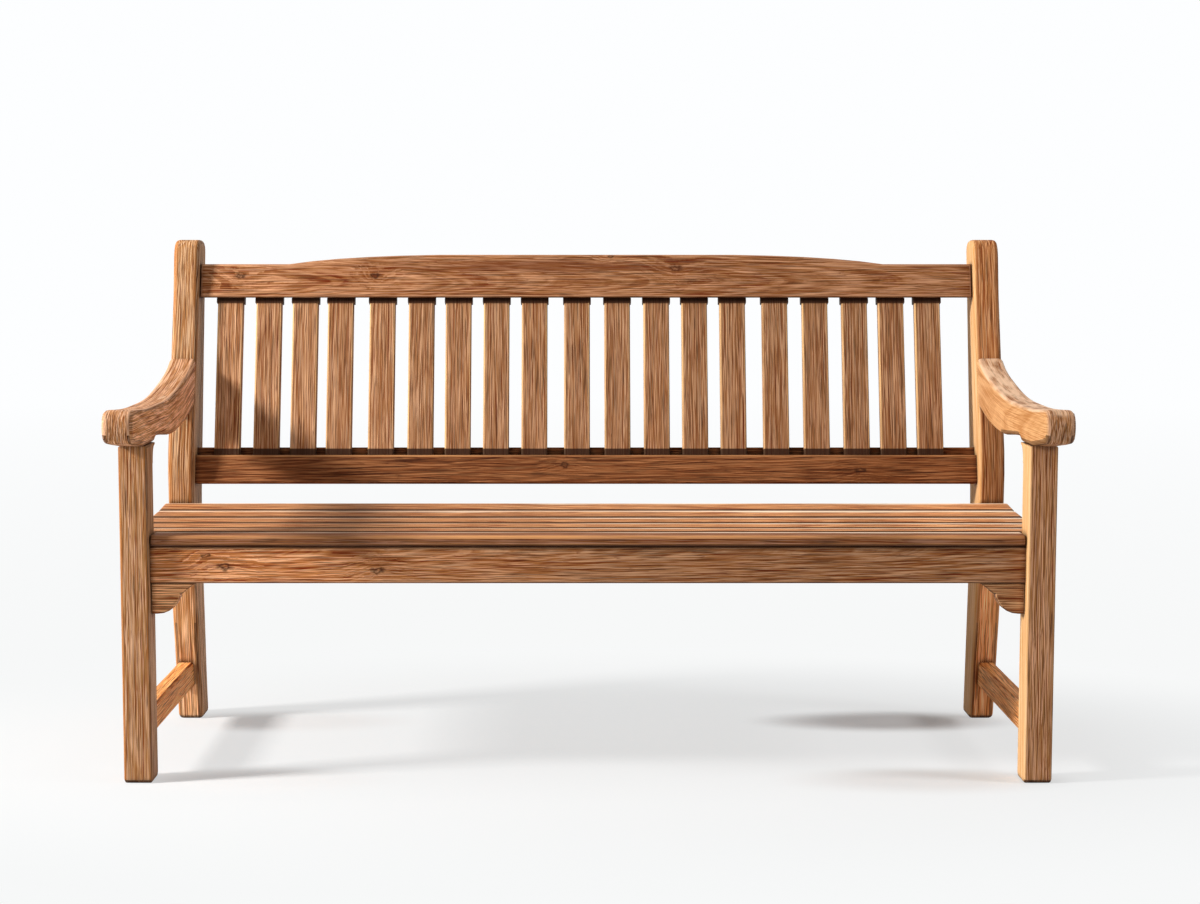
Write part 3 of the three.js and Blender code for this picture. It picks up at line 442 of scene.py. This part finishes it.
# The tops of the arms are worn nearly white in patches, the right one more than the left; on the faces
# that look up this paleness is partly wear and partly painted light.
for timber, least in ((left_arm, 0.6), (right_arm, 0.36)):
    tree = timber.node_tree
    place = add(tree, "TexCoord").outputs["Object"]
    patches = add(tree, "VectorMath", {0: place, 1: (1000 / 14.286, 1000 / 62.5, 1000 / 62.5)},
                  operation="MULTIPLY")
    patches = add(tree, "TexNoise", {"Vector": patches, "Scale": 1.0, "Detail": 4.0})
    worn_and_lit = add(tree, "MapRange", {"Value": patches, "From Min": least, "From Max": least + 0.22,
               "To Max": 0.8})
    upward = add(tree, "NewGeometry").outputs["Normal"]
    upward = add(tree, "SeparateXYZ", {0: upward}).outputs["Z"]
    upward = add(tree, "MapRange", {"Value": upward, "From Min": 0.5, "From Max": 0.75})
    worn_and_lit = add(tree, "Math", {0: worn_and_lit, 1: upward}, operation="MULTIPLY")
    lay_over(timber, worn_and_lit, "#f2cba8")

# The side values paint the faces that look left or right paler or darker: painted light and shade.
dress("front_leg_left", left_leg, tone=1.02, heart=(0.12, 0.05, 0.0), painted_side_light=(0.95, 0.95))
dress("front_leg_right", right_leg, tone=0.98, heart=(-0.14, 0.03, 0.0))
dress("back_leg_left", left_post, tone=1.05, heart=(0.3, 0.05, 0.0), painted_side_light=(0.95, 0.95))
dress("back_leg_right", right_post, tone=0.98, heart=(-0.3, 0.05, 0.0))
dress("arm_left", left_arm, tone=0.98, heart=(0.3, 0.0, -0.05), painted_side_light=(1.0, 1.42))
dress("arm_right", right_arm, tone=0.93, heart=(-0.3, 0.0, -0.05))

# ------------------------------------------------------------------ side rails and brackets
# A seat side rail and a low stretcher are tenoned into each pair of legs, and a small shaped bracket is
# glued into the corner under each end of the apron. They are oiled teak, a little more orange.
side_teak = wood("side_rail_teak_oiled", BACKWARD, RIGHTWARD, "#fdc180", "#dd924e", "#a04a1b")
bracket_teak = wood("bracket_teak_oiled", RIGHTWARD, FORWARD, "#fbc48e", "#b37447", "#7d3312", ring=3.4)
# The paler side-rail wood, the side values that darken faces looking left, and the tones that make the left
# stretcher and bracket paler than the right ones are painted light and shade.
for hand, way in (("left", 1), ("right", -1)):
    dress("seat_side_rail_" + hand, side_teak, heart=(0.08 * way, 0.0, 0.03), painted_side_light=(0.6, 1.0))
    dress("side_stretcher_" + hand, side_teak, heart=(0.06 * way, 0.0, 0.05),
          tone=1.22 + 0.12 * way, painted_side_light=(0.8 - 0.2 * way, 1.0 + 0.03 * way))
    dress("corner_bracket_" + hand, bracket_teak, heart=(0.0, 0.07, -0.05),
          tone=0.95 + 0.25 * way)

# ------------------------------------------------------------------ seat
# A nosing with a rounded front edge lies on the deep apron, and five boards lie behind it on the side
# rails and two bearers. The apron and the rear rail are tenoned into the legs. All are oiled teak, and
# the seat boards are painted paler, most toward the right end, as painted light.
# The apron is painted paler at its left end and darker toward the right, painted light falling off from the
# key lamp.
apron_teak = wood("apron_teak_oiled", RIGHTWARD, FORWARD, "#d09e77", "#a26637", "#601b04", ring=1.9,
                  sway=3.5, knots=((-598, -234, 359, 9), (-346, -234, 354, 8), (-631, -234, 378, 6)),
                  fades=((-500, 50, 1.55, 0.86),))
board_teak = wood("seat_board_teak_oiled", RIGHTWARD, UPWARD, "#d8a06f", "#a26a3e", "#69240a",
                  fades=((-100, 600, 1.1, 1.55),))
# The nosing is coloured darker, painted shade on its front face, and its rubbed top arris golden, a painted
# highlight.
nosing_teak = wood("nosing_teak_oiled", RIGHTWARD, UPWARD, "#9b6e56", "#885630", "#62250d", ring=2.0,
                   rubbed_and_lit="#dfa068")

# Along the back of every board runs a pale strip, a painted sheen, wider toward the right end. The
# front arris, which faces into the gap, is painted dark, a painted shade in the gap.
FIRST_GAP = -0.1806  # where the board behind the nosing starts
BOARD_PITCH = 0.0745  # one board and one gap
for timber in (board_teak, nosing_teak):
    tree = timber.node_tree
    place = add(tree, "TexCoord").outputs["Object"]
    depth = add(tree, "SeparateXYZ", {0: place}).outputs["Y"]
    board = add(tree, "MapRange", {"Value": depth, "From Min": FIRST_GAP,
                "From Max": FIRST_GAP + BOARD_PITCH}, clamp=False)
    board = add(tree, "Math", {0: board}, operation="FRACT")
    patches = add(tree, "VectorMath", {0: place, 1: (1000 / 250, 1000 / 33.33, 1.0)}, operation="MULTIPLY")
    patches = add(tree, "TexNoise", {"Vector": patches, "Scale": 1.0})
    across = add(tree, "SeparateXYZ", {0: place})
    toward_right = add(tree, "MapRange", {"Value": across, "From Min": -0.2, "From Max": 0.6, "To Min": 1.0,
                   "To Max": 2.1})
    painted_sheen = add(tree, "Math", {0: patches, 1: 0.3, 2: board}, operation="MULTIPLY_ADD")
    painted_sheen = add(tree, "Math", {0: toward_right, 1: 0.04, 2: painted_sheen}, operation="MULTIPLY_ADD")
    painted_sheen = add(tree, "MapRange", {"Value": painted_sheen, "From Min": 0.88, "From Max": 1.0, "To Max": 1.0})
    patches = add(tree, "Math", {0: patches, 1: toward_right}, operation="MULTIPLY", use_clamp=True)
    painted_sheen = add(tree, "Math", {0: painted_sheen, 1: patches}, operation="MULTIPLY")
    painted_gap_shade = add(tree, "MapRange", {"Value": board, "From Min": 0.08, "From Max": 0.15, "To Min": 0.85,
               "To Max": 0.0})
    lay_over(timber, painted_sheen, "#fde9cf")
    lay_over(timber, painted_gap_shade, "#2b130a")

dress("front_apron", apron_teak, heart=(0.0, 0.06, 0.03))
dress("seat_rear_rail", apron_teak, heart=(0.0, 0.09, 0.02), tone=0.95)
for hand in ("left", "right"):
    dress("seat_bearer_" + hand, side_teak, heart=(0.07, 0.0, 0.04), tone=0.95)
dress("seat_nosing", nosing_teak, heart=(0.0, 0.03, -0.08))
picks = random.Random(11)
for number in range(1, 6):
    heart = (0.0, picks.uniform(-0.03, 0.03), -picks.uniform(0.05, 0.12))
    dress(f"seat_board_{number}", board_teak, tone=picks.uniform(0.97, 1.05), heart=heart)

# ------------------------------------------------------------------ reclined back
# Nineteen slats stand in mortises between a lower rail with a lip behind them and an arched top rail,
# both tenoned into the posts. The lower rail is coloured the darkest.
RECLINE = math.radians(14.5)
SLAT_FOOT = (0.0, 0.2049, 0.449)  # where the slats' front face would meet the seat
slat_up = (0.0, math.sin(RECLINE), math.cos(RECLINE))
slat_front = (0.0, -math.cos(RECLINE), math.sin(RECLINE))
lower_teak = wood("lower_rail_teak_oiled", RIGHTWARD, slat_front, "#ac754b", "#7d4927", "#411606", ring=2.0,
                  knots=((505, 209, 475, 8), (-39, 211, 484, 7)), rubbed_and_lit="#c58c5a")
# The top rail is painted paler at the left and darker at the right, painted light falling off from the key
# lamp.
top_teak = wood("top_rail_teak_oiled", RIGHTWARD, slat_front, "#c8946f", "#915d33", "#622005", ring=1.9,
                sway=3.5, fades=((-650, 300, 1.14, 0.92),),
                knots=((-646, 292, 831, 8), (-394, 292, 831, 7), (45, 302, 868, 5), (168, 296, 846, 9)))
slat_teak = wood("slat_teak_oiled", slat_up, slat_front, "#cea17d", "#9a6a42", "#64250d", taper=0.02,
                 rubbed_and_lit="#f2c68c")

# A streak of dark red heartwood runs along the middle of the top rail and fades out toward its ends.
tree = top_teak.node_tree
place = add(tree, "TexCoord").outputs["Object"]
ribbons = add(tree, "VectorMath", {0: place, 1: (1000 / 200, 0.0, 1000 / 7.692)}, operation="MULTIPLY")
ribbons = add(tree, "TexNoise", {"Vector": ribbons, "Scale": 1.0, "Detail": 3.0})
streak = add(tree, "VectorMath", {0: place, 1: (-0.08, 0.296, 0.849)}, operation="SUBTRACT")
streak = add(tree, "VectorMath", {0: streak, 1: (2.2, 0.0, 62.0)}, operation="MULTIPLY")
streak = add(tree, "VectorMath", {0: streak}, operation="LENGTH")
streak = add(tree, "Math", {0: ribbons, 1: 1.6, 2: streak}, operation="MULTIPLY_ADD")
streak = add(tree, "MapRange", {"Value": streak, "From Min": 1.1, "From Max": 1.7, "To Min": 0.5,
             "To Max": 0.0})
lay_over(top_teak, streak, "#5e2409")

# Each slat is darkened where it enters a rail: on its top shoulder by a painted shadow of the top rail,
# and in a band just above the lower rail.
tree = slat_teak.node_tree
place = add(tree, "TexCoord").outputs["Object"]
climb = add(tree, "VectorMath", {0: place, 1: SLAT_FOOT}, operation="SUBTRACT")
climb = add(tree, "VectorMath", {0: climb, 1: slat_up}, operation="DOT_PRODUCT")
painted_rail_shadow = add(tree, "MapRange", {"Value": climb, "From Min": 0.3418, "From Max": 0.343, "To Max": 0.93})
low_band = add(tree, "MapRange", {"Value": climb, "From Min": 0.066, "From Max": 0.068, "To Min": 0.94,
               "To Max": 0.0})
slat_end_darkening = add(tree, "Math", {0: painted_rail_shadow, 1: low_band}, operation="MAXIMUM")
lay_over(slat_teak, slat_end_darkening, "#2c1509")

dress("lower_back_rail", lower_teak, heart=(0.0, 0.05, 0.02))
dress("top_rail", top_teak, heart=(0.0, 0.06, -0.03))
picks = random.Random(5)
for number in range(1, 20):
    heart = (picks.choice((-1, 1)) * picks.uniform(0.05, 0.14), picks.uniform(0.02, 0.07), 0.0)
    # The slats are painted darker toward the right, painted light falling off from the key lamp, on top of
    # a random tone.
    tone = picks.uniform(0.94, 1.06) * (1.12 - 0.012 * number)
    dress(f"back_slat_{number:02d}", slat_teak, tone=tone, heart=heart)

# ------------------------------------------------------------------ pegs
# Round hardwood pegs are driven through every tenon of the rails to lock it. Only their darker end
# grain shows, flush with the legs.
peg_teak = wood("peg_end_grain", RIGHTWARD, UPWARD, "#8f5e3a", "#74492a", "#4d2d18", ring=1.6, sway=1.0)
for hand in ("left", "right"):
    for name in ("seat_rail_peg_front", "seat_rail_peg_back", "stretcher_peg_front", "stretcher_peg_back"):
        dress(f"{name}_{hand}", peg_teak, heart=(0.0, 0.003, 0.002), narrow=0.0)
    for name in ("apron_peg", "rear_rail_peg", "lower_rail_peg", "top_rail_peg"):
        dress(f"{name}_{hand}", peg_teak, heart=(0.003, 0.0, 0.002), narrow=0.0)
